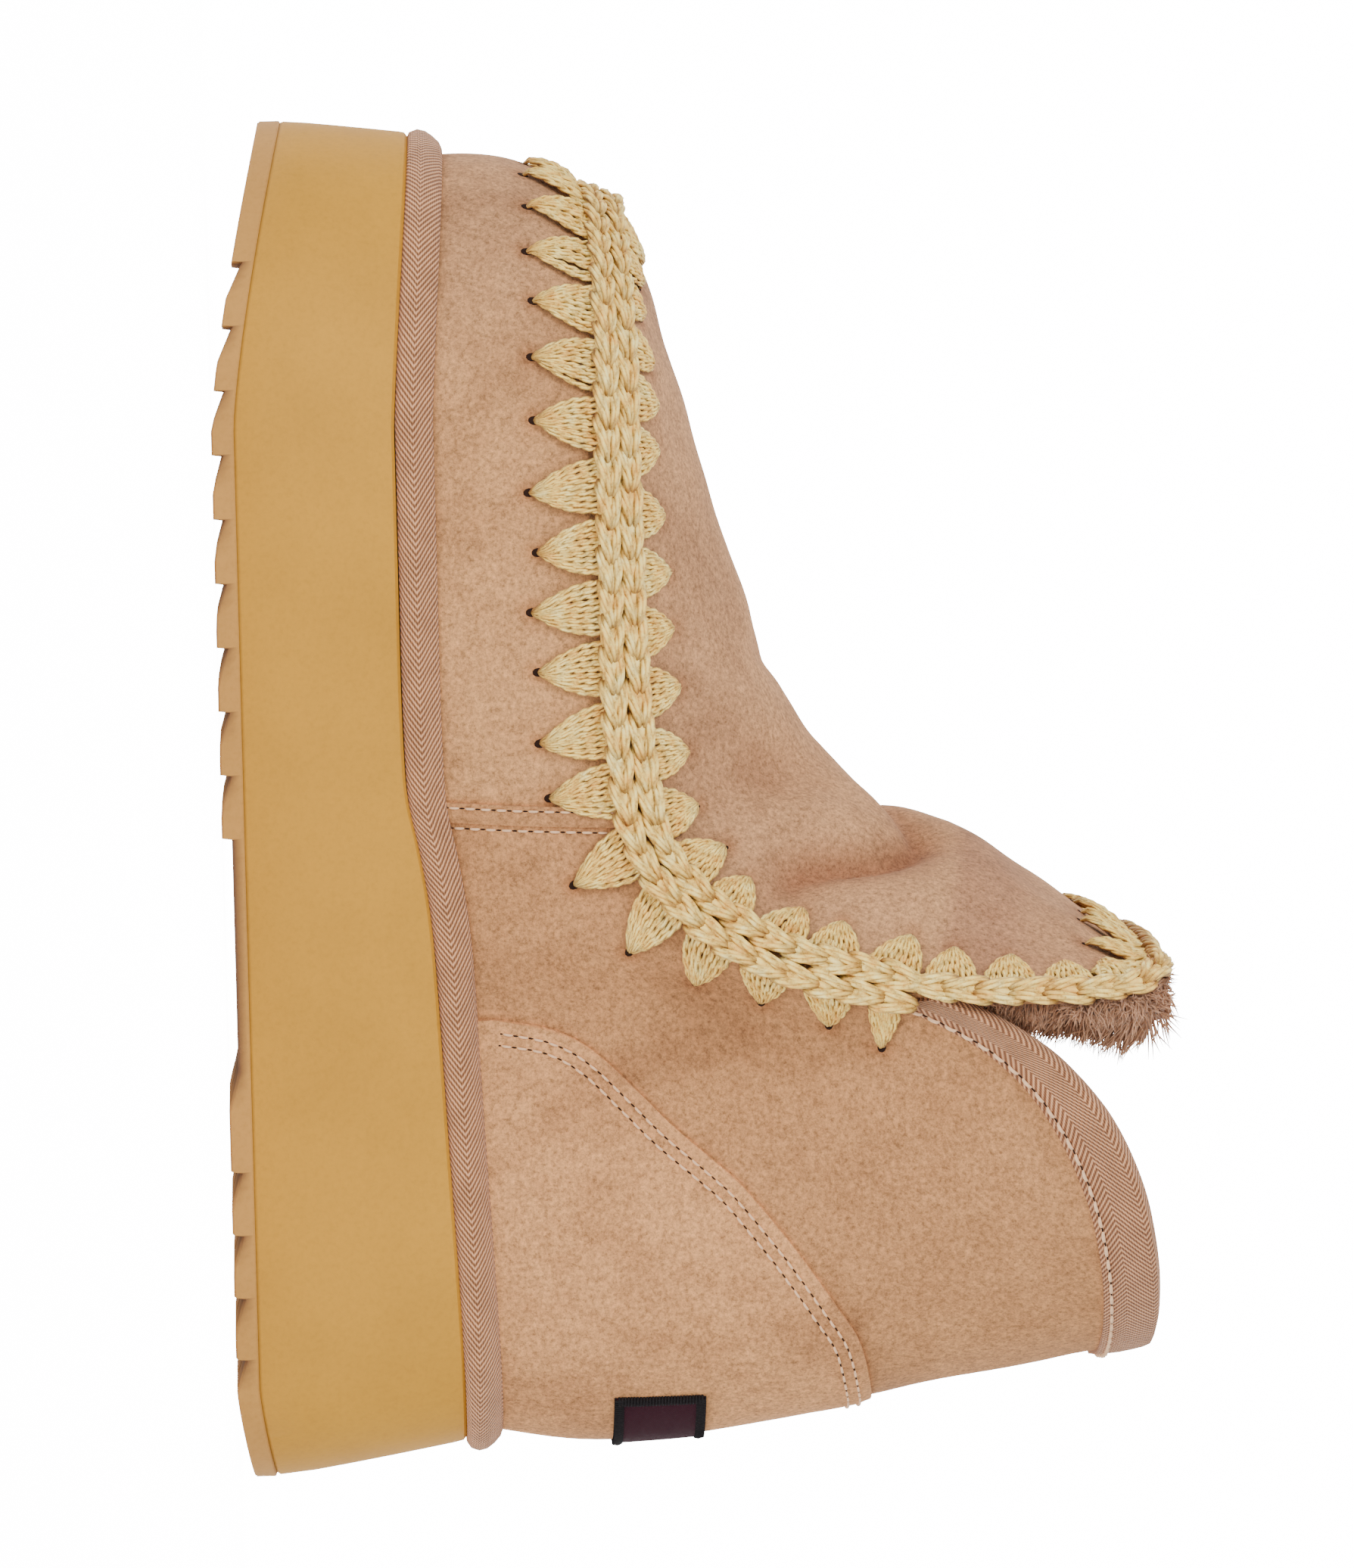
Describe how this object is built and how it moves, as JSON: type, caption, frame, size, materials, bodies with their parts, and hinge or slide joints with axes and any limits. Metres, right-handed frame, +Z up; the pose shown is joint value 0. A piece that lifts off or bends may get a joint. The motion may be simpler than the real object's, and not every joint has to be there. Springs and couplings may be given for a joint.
{
  "type": "mukluk boot",
  "caption": "Left ankle boot of suede sheepskin on a thick wedge platform, with a crocheted moccasin seam, a folded-open flap and a taped collar.",
  "frame": {"origin": "on the floor, under the middle of the sole's length and the middle of the collar's width", "axes": "+X towards the toe, +Y towards the outer side of this left boot, +Z up"},
  "size_m": [0.2734, 0.1375, 0.1857],
  "materials": {
    "suede": "napped",
    "yarn": "twisted",
    "platform_rubber": "satin",
    "outsole_rubber": "matt",
    "twill_tape": "woven",
    "fleece": "deep pile",
    "footbed": "short pile",
    "label_cloth": "woven"
  },
  "bodies": {
    "root": {"outsole": "outsole_rubber", "platform": "platform_rubber", "insole": "footbed", "binding": "twill_tape", "upper": "suede", "heel_counter": "suede", "side_seam_outer": "suede", "side_seam_inner": "suede", "collar_tape": "twill_tape", "heel_label": "label_cloth", "side_crochet": "yarn", "plug_crochet": "yarn", "flap_fleece": "fleece", "shaft_fleece": "fleece"}
  },
  "joints": []
}
